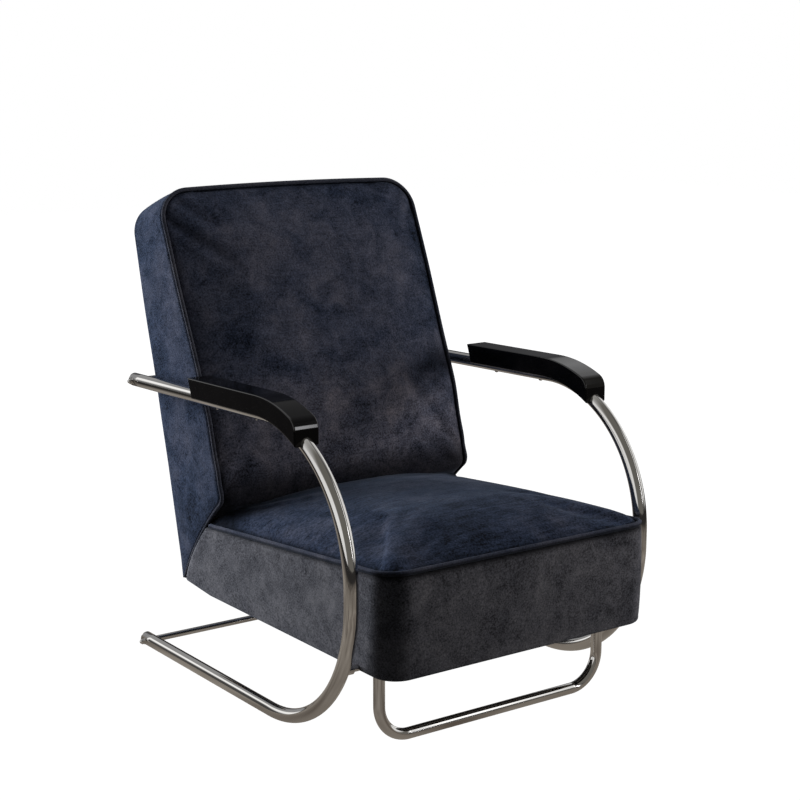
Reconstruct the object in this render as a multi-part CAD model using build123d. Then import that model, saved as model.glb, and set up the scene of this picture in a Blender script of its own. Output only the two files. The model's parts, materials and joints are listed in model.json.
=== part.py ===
from build123d import *
from math import cos, radians, sin, sqrt
import os

os.makedirs("parts", exist_ok=True)

# Driving dimensions in millimetres and degrees. The chair faces -Y and stands on Z = 0.

# Side frames: one bent tube on each side, from the floor up and back along the arm
tube_diameter = 25
tube_wall = 2
side_gap = 18
frame_front = -376
runner_length = 461
lower_bend_radius = 250
riser_length = 24.5
arm_height = 534
arm_slope = 1.55

# Cross rods and their fasteners
rod_diameter = 12
rod_neck_diameter = 6
rod_end_inset = 15
nut_flats = 10
nut_hex_height = 5
nut_dome_radius = 4.4
washer_diameter = 13
washer_thickness = 1.2
collar_diameter = 18
collar_length = 7
end_cap_spigot = 7
end_cap_rim = 1.5
end_cap_dome = 2.5

# Front leg: a U of thinner tube that stands on the floor and is coped to the front rod
leg_diameter = 20
leg_wall = 1.5
leg_gap = 1
leg_bend_radius = 60

# Arm pads of lacquered wood, grooved to sit on the upper half of the tube
pad_width = 48
pad_height = 36
pad_rear = 103
pad_undercut = 12
pad_front = -250
pad_nose_radius = 24
pad_edge_radius = 2.5
pad_screw_stations = (38, -95)
pad_screw_diameter = 4
pad_screw_depth = 18
pad_screw_head_diameter = 8
pad_screw_head_height = 2.6

# Seat: boxed front and sides, a top that falls to the rear, level underside
seat_width = 564
seat_front = -437
seat_corner_radius = 45
seat_edge_height = 321
seat_underside = 141
seat_slope = 4.5
seat_depth = 677
seat_rear_rise_start = 140
tail_rise = 9
seat_crown = 46
seat_front_crown = 16
seat_crown_share = 0.45
border_thickness = 10
piping_radius = 3
soft_clearance = 0.3

# Seat frame, webbing and underside
rail_thickness = 22
rail_drop = 80
rear_rail_setback = 102
block_leg = 60
block_height = 45
strap_width = 50
strap_thickness = 2.5
strap_count = 5
cover_thickness = 1.5
cover_gap = 2
cover_setback = 14
notch_clearance = 0.4
plate_length = 64
plate_width = 18
plate_thickness = 2

# Back: reclined wedge that is thin at the top, deep at the lumbar and ends in a slanted seam on the seat
back_recline = 23
back_straight = 520
lumbar_radius = 142
lumbar_overrun = 1
heel_radius = 28
seam_start_angle = 50
seam_end_angle = 28
seam_length = 228
back_top_thickness = 112
back_corner_radius = 70
back_pad_depth = 40
back_crown = 24
back_end_crown = 6
back_panel_thickness = 6
back_side_thickness = 22
back_rail_thickness = 22
back_rail_height = 50
back_strap_count = 4
bottom_rail_drop = 76

# Saddles on the back rod, and the plates that tie the back to the seat
saddle_width = 26
saddle_thickness = 2.5
saddle_flange = 20
saddle_spacing = 360
rod_standoff = 8.9
tie_plate_length = 80
tie_plate_width = 26
tie_plate_lift = 56
tie_screw_reach = (22, 33)
tie_plate_thickness = 3
screw_diameter = 4
screw_head_diameter = 8
screw_head_height = 2.4
screw_depth = 12

# Derived sizes
tube_radius = tube_diameter / 2
half_seat = seat_width / 2
half_frame = half_seat + side_gap + tube_radius
rod_radius = rod_diameter / 2
front_rod_height = seat_underside + rod_radius
upper_bend_radius = arm_height - tube_radius - lower_bend_radius - riser_length
lower_centre = Vector(frame_front + lower_bend_radius, tube_radius + lower_bend_radius)
front_rod_y = lower_centre.X - sqrt(lower_bend_radius**2 - (lower_centre.Y - front_rod_height) ** 2)
edge_gap = piping_radius + soft_clearance
cushion_rim = 2 * edge_gap
seam_gap = edge_gap + soft_clearance

nodes = {}


def add(name, shape):
    # Keeps a node as a flat list of its separate solids.
    nodes[name] = list(shape.solids())


def along(path, radius):
    # Round bar of the given radius along a path.
    return sweep(Plane(origin=path @ 0, z_dir=path % 0) * Circle(radius), path=path)


def hollow(path, radius, wall):
    # Round tube along a path.
    ring = Circle(radius) - Circle(radius - wall)
    return sweep(Plane(origin=path @ 0, z_dir=path % 0) * ring, path=path)


def side_slab(face, inner, outer):
    # Extrudes a face drawn in (Y, Z) from one X to another.
    return extrude(Plane.YZ.offset(inner) * face, amount=outer - inner, dir=(1, 0, 0))


def polygon(*points):
    # Closed face through points.
    return make_face(Polyline(*points, close=True))


def cross_bar(y, z, radius, reach):
    # Round bar along X, centred on the chair.
    return Pos(0, y, z) * Rot(0, 90, 0) * Cylinder(radius, 2 * reach)


def mirrored(shape):
    # The shape and its mirror image across the chair's middle plane.
    return Compound([*shape.solids(), *mirror(shape, about=Plane.YZ).solids()])


def meet(p, p_dir, q, q_dir):
    # Point where two lines in a plane cross.
    across = p_dir.X * q_dir.Y - p_dir.Y * q_dir.X
    gap = q - p
    return p + p_dir * ((gap.X * q_dir.Y - gap.Y * q_dir.X) / across)


def meet_circle(p, p_dir, centre, radius, near):
    # Point nearest to a given one where a line crosses a circle.
    back = (p - centre).dot(p_dir)
    root = sqrt(back**2 - (p - centre).length ** 2 + radius**2)
    hits = [p + p_dir * (-back - root), p + p_dir * (-back + root)]
    return min(hits, key=lambda hit: (hit - near).length)


def arc_between(start, end, centre):
    # Shorter arc about a centre from one point to another.
    outward = (start + end - centre * 2).normalized()
    return ThreePointArc(start, centre + outward * (start - centre).length, end)


# Outline of the back in (Y, Z), placed by its lower tip on the seat
face_down = Vector(-sin(radians(back_recline)), -cos(radians(back_recline)))
face_front = Vector(face_down.Y, -face_down.X)
seam_turn = seam_start_angle - seam_end_angle
seam_radius = seam_length / radians(seam_turn)


def back_outline(top):
    # Front of the back from its top edge down: straight face, lumbar curve, heel and the slanted seam.
    face = Line(top, top + face_down * back_straight)
    curve = JernArc(face @ 1, face % 1, lumbar_radius, back_recline + lumbar_overrun)
    bend = JernArc(curve @ 1, curve % 1, heel_radius, seam_start_angle - lumbar_overrun)
    tail = JernArc(bend @ 1, bend % 1, seam_radius, -seam_turn)
    return face, curve, bend, tail


tip = Vector(seat_front + seat_depth, seat_underside + tail_rise)
back_top = tip - back_outline(Vector(0, 0))[-1] @ 1
face_line, lumbar, heel, seam = back_outline(back_top)
seam_centre = seam.arc_center
seam_start = seam @ 0
seam_dir = (tip - seam_start).normalized()
seam_up = Vector(-seam_dir.Y, seam_dir.X)
back_top_rear = back_top - face_front * back_top_thickness
rear_dir = (back_top_rear - tip).normalized()
rear_out = Vector(rear_dir.Y, -rear_dir.X)
overall_height = back_top.Y

# Side tube centre line in (Y, Z)
runner = Line(
    (lower_centre.X + runner_length, tube_radius),
    (lower_centre.X, tube_radius),
)
lower_bend = JernArc(runner @ 1, runner % 1, lower_bend_radius, -90)
riser = Line(lower_bend @ 1, lower_bend @ 1 + Vector(0, riser_length))
upper_bend = JernArc(riser @ 1, riser % 1, upper_bend_radius, -(90 + arm_slope))
arm_dir = upper_bend % 1
arm_up = Vector(-arm_dir.Y, arm_dir.X)
back_rod_at = meet(upper_bend @ 1, arm_dir, tip + rear_out * rod_standoff, rear_dir)
arm_end = back_rod_at + arm_dir * rod_end_inset
arm = Line(upper_bend @ 1, arm_end)
tube_line = Wire([runner, lower_bend, riser, upper_bend, arm])
floor_rod_at = Vector((runner @ 0).X - rod_end_inset, tube_radius)


def arm_point(y):
    # Point of the arm's straight centre line at a given Y.
    return arm_end + arm_dir * ((y - arm_end.X) / arm_dir.X)


# Arm pads
def arm_pad_face():
    # Side outline: undercut rear end, flat top, nose that follows the bend to an upright front face.
    centre = upper_bend.arc_center
    reach = centre.X - pad_front
    low_front = Vector(pad_front, centre.Y + sqrt(upper_bend_radius**2 - reach**2))
    top_radius = upper_bend_radius + pad_height
    high_front = Vector(pad_front, centre.Y + sqrt(top_radius**2 - reach**2))
    low_start = upper_bend @ 1
    high_start = low_start + arm_up * pad_height
    bottom = arc_between(low_start, low_front, centre)
    top = arc_between(high_start, high_front, centre)
    rear_low = arm_point(pad_rear - pad_undercut)
    rear_high = arm_point(pad_rear) + arm_up * pad_height
    outline = [
        bottom,
        Line(low_front, high_front),
        top,
        Line(high_start, rear_high),
        Line(rear_high, rear_low),
        Line(rear_low, low_start),
    ]
    face = make_face(outline)
    nose = face.vertices().sort_by_distance((high_front.X, high_front.Y))[0]
    return fillet(nose, pad_nose_radius)


def pad_screw(y):
    # Round-headed screw up through the tube, drawn in the tube's own plane.
    seat = arm_point(y) if y > (upper_bend @ 1).X else upper_bend @ 1
    under = seat - arm_up * tube_radius
    place = Plane(
        origin=(half_frame, under.X, under.Y),
        x_dir=(1, 0, 0),
        z_dir=(0, arm_up.X, arm_up.Y),
    )
    length = tube_diameter + pad_screw_depth
    shank = Pos(0, 0, length / 2) * Cylinder(pad_screw_diameter / 2, length)
    sag = pad_screw_head_height
    dome_radius = ((pad_screw_head_diameter / 2) ** 2 + sag**2) / (2 * sag)
    dome = Pos(0, 0, dome_radius - sag) * Sphere(dome_radius)
    keep = Pos(0, 0, -sag / 2) * Cylinder(pad_screw_head_diameter / 2, sag)
    return place * (shank + (dome & keep))


pad_screws = [pad_screw(y) for y in pad_screw_stations]

right_line = Plane.YZ.offset(half_frame) * tube_line
tube_core = along(right_line, tube_radius)
side_tube = hollow(right_line, tube_radius, tube_wall)
neck_reach = half_frame + tube_diameter
for rod_at in (back_rod_at, floor_rod_at):
    side_tube -= cross_bar(rod_at.X, rod_at.Y, rod_neck_diameter / 2, neck_reach)
for screw in pad_screws:
    side_tube -= screw
add("right_side_frame", side_tube)
add("left_side_frame", mirror(side_tube, about=Plane.YZ))

pad = side_slab(arm_pad_face(), half_frame - pad_width / 2, half_frame + pad_width / 2)
pad_side_faces = pad.faces().filter_by(Axis.X)
pad = fillet(pad_side_faces.edges(), pad_edge_radius)
pad -= tube_core
for screw in pad_screws:
    pad -= screw
add("right_arm_pad", pad)
add("left_arm_pad", mirror(pad, about=Plane.YZ))
add("arm_pad_screws", mirrored(Compound(pad_screws)))

# Tube end plugs with a low dome
plug_radius = tube_radius - tube_wall
dome_radius = (tube_radius**2 + end_cap_dome**2) / (2 * end_cap_dome)
plug_profile = make_face(
    [
        Line((0, -end_cap_spigot), (plug_radius, -end_cap_spigot)),
        Line((plug_radius, -end_cap_spigot), (plug_radius, 0)),
        Line((plug_radius, 0), (tube_radius, 0)),
        Line((tube_radius, 0), (tube_radius, end_cap_rim)),
        RadiusArc((tube_radius, end_cap_rim), (0, end_cap_rim + end_cap_dome), -dome_radius),
        Line((0, end_cap_rim + end_cap_dome), (0, -end_cap_spigot)),
    ]
)
plug = revolve(Plane.XZ * plug_profile, axis=Axis.Z)
arm_plug = Plane(origin=right_line @ 1, z_dir=right_line % 1) * plug
floor_plug = Plane(origin=right_line @ 0, z_dir=(right_line % 0) * -1) * plug
add("tube_end_caps", mirrored(Compound([arm_plug, floor_plug])))

# Cross rods: shouldered ends pass through the tubes into cap nuts
nut_seat = half_frame + tube_radius + washer_thickness


def tie_rod(at):
    # Rod between the tubes with a thinner neck at each end.
    body = cross_bar(at.X, at.Y, rod_radius, half_frame - tube_radius)
    return body + cross_bar(at.X, at.Y, rod_neck_diameter / 2, nut_seat + nut_hex_height)


add("back_rod", tie_rod(back_rod_at))
add("rear_floor_rod", tie_rod(floor_rod_at))

washer = Cylinder(washer_diameter / 2, washer_thickness)
washer -= Cylinder(rod_neck_diameter / 2, washer_thickness)
hexagon = RegularPolygon(nut_flats / 2, 6, major_radius=False)
cap_nut = extrude(hexagon, nut_hex_height)
nut_dome = Sphere(nut_dome_radius) & Pos(0, 0, nut_flats / 2) * Box(nut_flats, nut_flats, nut_flats)
cap_nut += Pos(0, 0, nut_hex_height) * nut_dome
cap_nut -= Pos(0, 0, nut_hex_height / 2) * Cylinder(rod_neck_diameter / 2, nut_hex_height)
nuts = []
washers = []
for rod_at in (back_rod_at, floor_rod_at):
    outward = Pos(nut_seat, rod_at.X, rod_at.Y) * Rot(0, 90, 0)
    nuts.append(outward * cap_nut)
    washers.append(outward * Pos(0, 0, -washer_thickness / 2) * washer)
add("rod_cap_nuts", mirrored(Compound(nuts)))
add("rod_washers", mirrored(Compound(washers)))

# Front rod welded between the lower bends, with a collar against each tube
front_rod = cross_bar(front_rod_y, front_rod_height, rod_radius, half_frame)
front_rod = front_rod - tube_core - mirror(tube_core, about=Plane.YZ)
add("front_rod", front_rod)
collar_start = half_frame - tube_radius - collar_length
collar = Cylinder(collar_diameter / 2, collar_length + tube_radius)
collar -= Cylinder(rod_radius, collar_length + tube_radius)
collar_middle = collar_start + (collar_length + tube_radius) / 2
collar = Pos(collar_middle, front_rod_y, front_rod_height) * Rot(0, 90, 0) * collar
add("rod_collars", mirrored(collar - tube_core))

# Front leg
leg_radius = leg_diameter / 2
leg_spacing = seat_width - 2 * (border_thickness + rail_thickness + leg_gap) - leg_diameter
leg_line = FilletPolyline(
    (-leg_spacing / 2, front_rod_height),
    (-leg_spacing / 2, leg_radius),
    (leg_spacing / 2, leg_radius),
    (leg_spacing / 2, front_rod_height),
    radius=leg_bend_radius,
)
leg_plane = Plane(origin=(0, front_rod_y, 0), x_dir=(1, 0, 0), z_dir=(0, -1, 0))
front_leg = hollow(leg_plane * Wire(leg_line.edges()), leg_radius, leg_wall)
front_leg -= cross_bar(front_rod_y, front_rod_height, rod_radius, half_seat)
add("front_leg", front_leg)

# Outline of the seat in (Y, Z)
seat_dir = Vector(cos(radians(seat_slope)), -sin(radians(seat_slope)))
seat_normal = Vector(-seat_dir.Y, seat_dir.X)
seat_lip = Vector(seat_front, seat_edge_height)
seat_rear_edge = meet_circle(seat_lip, seat_dir, seam_centre, seam_radius, seam_start)


def seat_side_face(top_drop, short_of_seam):
    # Side of the seat below a line that lies top_drop under the piped edge, cut short of the seam.
    foot = seat_lip - seat_normal * top_drop
    front_top = meet(foot, seat_dir, Vector(seat_front, 0), Vector(0, 1))
    radius = seam_radius - short_of_seam
    rear_top = meet_circle(foot, seat_dir, seam_centre, radius, seam_start)
    rear_low = seam_centre + (tip - seam_centre).normalized() * radius
    rise = Vector(seat_rear_rise_start, seat_underside)
    front_low = Vector(seat_front, seat_underside)
    edges = [
        Line(front_low, front_top),
        Line(front_top, rear_top),
        arc_between(rear_top, rear_low, seam_centre),
        Line(rear_low, rise),
        Line(rise, front_low),
    ]
    return make_face(edges)


def seat_plan(inset):
    # Plan of the seat with rounded front corners, drawn in by inset.
    reach = half_seat - inset
    front = seat_front + inset
    face = polygon((-reach, front), (reach, front), (reach, back_top.X), (-reach, back_top.X))
    return fillet(face.vertices().sort_by(Axis.Y)[:2], seat_corner_radius - inset)


def seat_prism(inset):
    # Upright prism on the seat's plan.
    return extrude(seat_plan(inset), overall_height)


seat_inside = seat_prism(border_thickness)
seat_border = side_slab(seat_side_face(edge_gap, seam_gap), -half_seat, half_seat)
seat_border = (seat_border & seat_prism(0)) - seat_inside

# Seat frame
rail_outer = half_seat - border_thickness
rail_inner = rail_outer - rail_thickness
rail_face = seat_side_face(rail_drop, border_thickness)
side_rail = side_slab(rail_face, rail_inner, rail_outer) & seat_inside
notch_radius = rod_radius + notch_clearance
notch_height = front_rod_height - seat_underside
rod_notch = cross_bar(front_rod_y, front_rod_height, notch_radius, half_seat)
notch_middle = Pos(0, front_rod_y, seat_underside + notch_height / 2)
rod_notch += notch_middle * Box(seat_width, 2 * notch_radius, notch_height)
side_rail -= rod_notch
add("seat_border", seat_border - rod_notch)

rail_front = seat_front + border_thickness
rail_foot = seat_lip - seat_normal * rail_drop
front_rail_top = meet(rail_foot, seat_dir, Vector(rail_front + rail_thickness, 0), Vector(0, 1))
front_rail = polygon(
    (rail_front, seat_underside),
    (rail_front, front_rail_top.Y),
    front_rail_top,
    (rail_front + rail_thickness, seat_underside),
)
add("seat_front_rail", side_slab(front_rail, -rail_inner, rail_inner) & seat_inside)

rear_rail_y = tip.X - rear_rail_setback
rear_rail_top = meet(rail_foot, seat_dir, Vector(rear_rail_y, 0), Vector(0, 1))
cover_bottom = front_rod_height + rod_radius + cover_gap
rear_rail_low = cover_bottom + cover_thickness
rear_rail = polygon(
    (rear_rail_y - rail_thickness, rear_rail_low),
    (rear_rail_y - rail_thickness, rear_rail_top.Y),
    rear_rail_top,
    (rear_rail_y, rear_rail_low),
)
add("seat_rear_rail", side_slab(rear_rail, -rail_inner, rail_inner))

inner_front = rail_front + rail_thickness
block = polygon(
    (rail_inner, inner_front),
    (rail_inner, inner_front + block_leg),
    (rail_inner - block_leg, inner_front),
)
block = Pos(0, 0, cover_bottom + cover_thickness) * extrude(block, block_height)
add("seat_corner_blocks", mirrored(block))

cover_rear = tip.X - cover_setback
cover = polygon(
    (-rail_inner, inner_front),
    (rail_inner, inner_front),
    (rail_inner, cover_rear),
    (-rail_inner, cover_rear),
)
add("seat_dust_cover", Pos(0, 0, cover_bottom) * extrude(cover, cover_thickness))

# Seat webbing: straps along the seat, and straps across that lie on them
rail_top = Plane(
    origin=(0, rail_foot.X, rail_foot.Y),
    x_dir=(1, 0, 0),
    z_dir=(0, seat_normal.X, seat_normal.Y),
)
web_front = border_thickness + rail_thickness / 2
web_rear = (meet(rail_foot, seat_dir, tip, seam_dir) - rail_foot).length - rail_thickness
web_pitch_x = (2 * rail_inner - strap_width) / strap_count
web_pitch_y = (web_rear - web_front - strap_width) / strap_count
straps = []
for i in range(strap_count):
    x = (i - (strap_count - 1) / 2) * web_pitch_x
    s = web_front + strap_width + i * web_pitch_y
    lengthwise = Pos(x, (web_front + web_rear) / 2, strap_thickness / 2)
    lengthwise = lengthwise * Box(strap_width, web_rear - web_front, strap_thickness)
    crosswise = Pos(0, s, strap_thickness * 1.5) * Box(2 * rail_outer, strap_width, strap_thickness)
    straps += [rail_top * lengthwise, (rail_top * crosswise) & seat_inside]
add("seat_webbing", Compound(straps))

# Seat cushion: a block between the borders and a crowned top, lofted along the seat
seat_top = Plane(
    origin=(0, seat_lip.X, seat_lip.Y),
    x_dir=(1, 0, 0),
    z_dir=(0, seat_normal.X, seat_normal.Y),
)
seat_run = (seat_rear_edge - seat_lip).length


def crown_section(plane, half, base, rim, crown):
    # Section with a flat base, upright sides up to a rim and a bowed top.
    edges = [
        Line((-half, base), (half, base)),
        Line((half, base), (half, rim)),
        ThreePointArc((half, rim), (0, rim + crown), (-half, rim)),
        Line((-half, rim), (-half, base)),
    ]
    return plane * make_face(edges)


def seat_crown_at(share):
    # Crown height along the seat: it rises quickly behind the front edge and then stays full.
    rise = sin(radians(90 * min(1, share / seat_crown_share)))
    return seat_front_crown + (seat_crown - seat_front_crown) * rise


seat_stations = (0, 0.12, 0.3, 0.6, 1)
seat_sections = []
for share in seat_stations:
    origin = seat_lip + seat_dir * (seat_run * share)
    cut = Plane(origin=(0, origin.X, origin.Y), x_dir=(1, 0, 0), z_dir=(0, -seat_dir.X, -seat_dir.Y))
    seat_sections.append(crown_section(cut, half_seat, edge_gap, cushion_rim, seat_crown_at(share)))
crown = loft(seat_sections) & seat_prism(0)
core_face = seat_side_face(-edge_gap, 2 * border_thickness)
core_floor = rail_drop - 2 * strap_thickness - soft_clearance
core = side_slab(core_face, -half_seat, half_seat) & seat_prism(border_thickness + soft_clearance)
below = seat_top * Pos(0, 0, -core_floor - half_seat) * Box(2 * seat_width, 4 * seat_width, 2 * half_seat)
core -= below
seat_body = crown + core

# Seat piping: a cord on the edge, along both sides and round the front corners
cord_inset = piping_radius
cord_reach = half_seat - cord_inset
cord_rear = (meet(seat_lip, seat_dir, tip, seam_dir) - seat_lip).length - 3 * piping_radius
seat_cord = FilletPolyline(
    (-cord_reach, cord_rear),
    (-cord_reach, cord_inset),
    (cord_reach, cord_inset),
    (cord_reach, cord_rear),
    radius=seat_corner_radius - cord_inset,
)
add("seat_piping", along(seat_top * Wire(seat_cord.edges()), piping_radius))


# Back body
def back_face(front_cut, rear_cut):
    # Side of the back, drawn in from the front and its seam, and from the rear.
    top = back_top - face_front * front_cut
    line = Line(top, top + face_down * back_straight)
    curve = JernArc(line @ 1, line % 1, lumbar_radius - front_cut, back_recline + lumbar_overrun)
    bend = JernArc(curve @ 1, curve % 1, heel_radius - front_cut, seam_start_angle - lumbar_overrun)
    rear_foot = back_top_rear - rear_out * rear_cut
    low = meet_circle(rear_foot, rear_dir, seam_centre, seam_radius + front_cut, tip)
    tail = arc_between(bend @ 1, low, seam_centre)
    edges = [line, curve, bend, tail, Line(low, rear_foot), Line(rear_foot, top)]
    return make_face(edges)


back_plane = Plane(
    origin=(0, back_top.X, back_top.Y),
    x_dir=(1, 0, 0),
    z_dir=(0, face_front.X, face_front.Y),
)


def back_prism(inset):
    # Front view of the back in the plane of its face, with rounded top corners, as a deep prism.
    reach = half_seat - inset
    face = polygon((-reach, -overall_height), (reach, -overall_height), (reach, -inset), (-reach, -inset))
    face = fillet(face.vertices().sort_by(Axis.Y)[-2:], back_corner_radius - inset)
    return extrude(back_plane * face, amount=overall_height, both=True)


def back_layer(front_cut, rear_cut):
    # Slab of the whole seat width on the side outline.
    return side_slab(back_face(front_cut, rear_cut), -half_seat, half_seat)


back_inside = back_prism(border_thickness)
add("back_border", (back_layer(edge_gap, 0) & back_prism(0)) - back_inside)
back_panel = (back_layer(edge_gap, 0) - back_layer(edge_gap, back_panel_thickness)) & back_inside

# Back frame: two shaped side boards and three rails between them
board_front = back_pad_depth + soft_clearance + strap_thickness
board_inner = rail_outer - back_side_thickness
board_seam = tip + seam_up * 2 * border_thickness


def frame_line(depth):
    # Front edge of the frame: along the face, upright behind the lumbar and down to the seam.
    high = back_top - face_front * depth
    bend = high + face_down * back_straight
    return [high, bend, meet(bend, Vector(0, 1), board_seam, seam_dir)]


board_tip = meet(board_seam, seam_dir, back_top_rear - rear_out * back_panel_thickness, rear_dir)
board_face = polygon(*frame_line(board_front), board_tip, back_top_rear - rear_out * back_panel_thickness)
side_board = side_slab(board_face, board_inner, rail_outer) & back_inside


def face_board(start, depth, height, thickness):
    # Rail between the side boards, placed by its distance down the face and behind it.
    a = back_top + face_down * start - face_front * depth
    b = a + face_down * height
    c = b - face_front * thickness
    return side_slab(polygon(a, b, c, c - face_down * height), -board_inner, board_inner)


top_rail = face_board(border_thickness, board_front, back_rail_height, back_rail_thickness) & back_inside
add("back_top_rail", top_rail)

low_a = seam_start + seam_dir * bottom_rail_drop + seam_up * 2 * border_thickness
low_b = low_a + seam_dir * back_rail_thickness
low_c = low_b + seam_up * back_rail_height
bottom_rail = polygon(low_a, low_b, low_c, low_c - seam_dir * back_rail_thickness)
add("back_bottom_rail", side_slab(bottom_rail, -board_inner, board_inner))

# Middle rail against the rear panel, which takes the saddles of the back rod
rod_foot = tip + rear_dir * (back_rod_at - tip).dot(rear_dir)


def rear_point(along_rear, outward):
    # Point placed from the foot of the back rod on the rear face.
    return rod_foot + rear_dir * along_rear + rear_out * outward


middle_rail = side_slab(
    polygon(
        rear_point(-back_rail_height, -back_panel_thickness),
        rear_point(back_rail_height, -back_panel_thickness),
        rear_point(back_rail_height, -back_panel_thickness - back_rail_thickness),
        rear_point(-back_rail_height, -back_panel_thickness - back_rail_thickness),
    ),
    -board_inner,
    board_inner,
)


def screw(depth):
    # Round-headed wood screw along Z with its head's underside at the origin.
    shank = Pos(0, 0, depth / 2) * Cylinder(screw_diameter / 2, depth)
    cap_radius = ((screw_head_diameter / 2) ** 2 + screw_head_height**2) / (2 * screw_head_height)
    cap = Pos(0, 0, cap_radius - screw_head_height) * Sphere(cap_radius)
    keep = Pos(0, 0, -screw_head_height / 2) * Cylinder(screw_head_diameter / 2, screw_head_height)
    return shank + (cap & keep)


# Saddles that hold the back on its rod
bridge = rod_radius + saddle_thickness
saddle_reach = bridge + saddle_flange
saddle_face = Pos(0, saddle_thickness / 2) * Rectangle(2 * saddle_reach, saddle_thickness)
saddle_face += Pos(0, rod_standoff) * Circle(bridge)
saddle_face += Pos(0, rod_standoff / 2) * Rectangle(2 * bridge, rod_standoff)
saddle_face -= Pos(0, rod_standoff) * Circle(rod_radius)
saddle_face -= Pos(0, -bridge) * Rectangle(2 * bridge, 2 * bridge)
saddle_face -= Pos(0, rod_standoff / 2) * Rectangle(rod_diameter, rod_standoff)
saddles = []
saddle_screws = []
for x in (-saddle_spacing / 2, saddle_spacing / 2):
    seat_plane = Plane(
        origin=(x, rod_foot.X, rod_foot.Y),
        x_dir=(0, rear_dir.X, rear_dir.Y),
        z_dir=(-1, 0, 0),
    )
    saddle = extrude(seat_plane * saddle_face, amount=saddle_width / 2, both=True)
    for side in (-1, 1):
        at = rear_point(side * (bridge + saddle_flange / 2), saddle_thickness)
        place = Plane(origin=(x, at.X, at.Y), x_dir=(1, 0, 0), z_dir=(0, -rear_out.X, -rear_out.Y))
        saddle_screws.append(place * screw(saddle_thickness + back_panel_thickness + screw_depth))
        saddle -= saddle_screws[-1]
        back_panel -= saddle_screws[-1]
        middle_rail -= saddle_screws[-1]
    saddles.append(saddle)
add("back_rear_panel", back_panel)
add("back_middle_rail", middle_rail)
add("back_rod_saddles", Compound(saddles))
add("saddle_screws", Compound(saddle_screws))

# Back webbing: straps across the front edges of the side boards
strap_pitch = (back_straight - 2 * strap_width) / back_strap_count
back_straps = []
for i in range(back_strap_count):
    start = strap_width + i * strap_pitch + strap_pitch / 2
    a = back_top + face_down * start - face_front * (back_pad_depth + soft_clearance)
    b = a + face_down * strap_width
    c = b - face_front * strap_thickness
    back_straps.append(side_slab(polygon(a, b, c, c - face_down * strap_width), -rail_outer, rail_outer))
add("back_webbing", Compound(back_straps))

# Back cushion: a core between the borders and a crowned face, lofted down the face
face_length = face_line.length + lumbar.length + heel.length
stations = [(face_line, t, 0) for t in (0, 0.06, 0.15, 0.3, 0.5, 0.75, 1)]
stations += [(lumbar, t, face_line.length) for t in (0.25, 0.5, 0.75, 1)]
stations += [(heel, t, face_line.length + lumbar.length) for t in (0.5, 1)]


def back_crown_body(margin):
    # Crowned face of the back, grown by a margin.
    sections = []
    for edge, t, before in stations:
        share = (before + edge.length * t) / face_length
        at = edge @ t
        toward = edge % t
        cut = Plane(origin=(0, at.X, at.Y), x_dir=(1, 0, 0), z_dir=(0, toward.X, toward.Y))
        bow = back_end_crown + (back_crown - back_end_crown) * sin(radians(180 * share))
        sections.append(crown_section(cut, half_seat + margin, -cushion_rim, cushion_rim, bow + margin))
    return loft(sections, ruled=True)


core_line = frame_line(back_pad_depth)
core_rear = polygon(
    core_line[0] - face_down * seat_width,
    *core_line[:2],
    (core_line[1].X, 0),
    (seat_width, 0),
    (seat_width, 2 * overall_height),
)
back_core = back_layer(-edge_gap, 0) - side_slab(core_rear, -half_seat, half_seat)
back_core = back_core & back_prism(border_thickness + soft_clearance)
back_crown_solid = (back_crown_body(0) & back_prism(0)) - back_layer(-edge_gap, 0)
add("back_cushion", back_crown_solid + back_core)
seat_body -= side_slab(back_face(-seam_gap, 0), -half_seat, half_seat)
add("seat_cushion", seat_body - back_crown_body(2 * soft_clearance))

# Back piping: a cord up each seam and side and round the top corners
back_cord = FilletPolyline(
    (-cord_reach, -back_straight),
    (-cord_reach, -cord_inset),
    (cord_reach, -cord_inset),
    (cord_reach, -back_straight),
    radius=back_corner_radius - cord_inset,
)
cord_edges = list((back_plane * Wire(back_cord.edges())).edges())
for x in (-cord_reach, cord_reach):
    for piece in (lumbar, heel, seam):
        cord_edges += (Plane.YZ.offset(x) * piece).edges()
add("back_piping", along(Wire(cord_edges), piping_radius))

# Tie plates across the seam inside, with their screws
tie_middle = tip - seam_dir * tie_plate_lift
tie_plane = Plane(
    origin=(board_inner, tie_middle.X, tie_middle.Y),
    x_dir=(0, seam_up.X, seam_up.Y),
    z_dir=(1, 0, 0),
)
tie_plate = Box(tie_plate_length, tie_plate_width, tie_plate_thickness)
tie_plate = tie_plane * Pos(0, 0, -tie_plate_thickness / 2) * tie_plate
tie_screws = []
for u in (*tie_screw_reach, *(-reach for reach in tie_screw_reach)):
    tie_screws.append(tie_plane * Pos(u, 0, -tie_plate_thickness) * screw(screw_depth))
    tie_plate -= tie_screws[-1]
    side_board -= tie_screws[-1]
    side_rail -= tie_screws[-1]
add("tie_plates", mirrored(tie_plate))
add("tie_plate_screws", mirrored(Compound(tie_screws)))
add("back_right_side", side_board)
add("back_left_side", mirror(side_board, about=Plane.YZ))

# Plates under the side rails that keep the front rod in its notches
plate_x = (rail_inner + rail_outer) / 2
rod_plate = Pos(plate_x, front_rod_y, seat_underside - plate_thickness / 2)
rod_plate = rod_plate * Box(plate_width, plate_length, plate_thickness)
plate_screws = []
for side in (-1, 1):
    y = front_rod_y + side * (plate_length / 2 - screw_head_diameter)
    plate_screws.append(Pos(plate_x, y, seat_underside - plate_thickness) * screw(screw_depth))
    rod_plate -= plate_screws[-1]
    side_rail -= plate_screws[-1]
add("rod_plates", mirrored(rod_plate))
add("rod_plate_screws", mirrored(Compound(plate_screws)))
add("seat_right_rail", side_rail)
add("seat_left_rail", mirror(side_rail, about=Plane.YZ))

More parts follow.
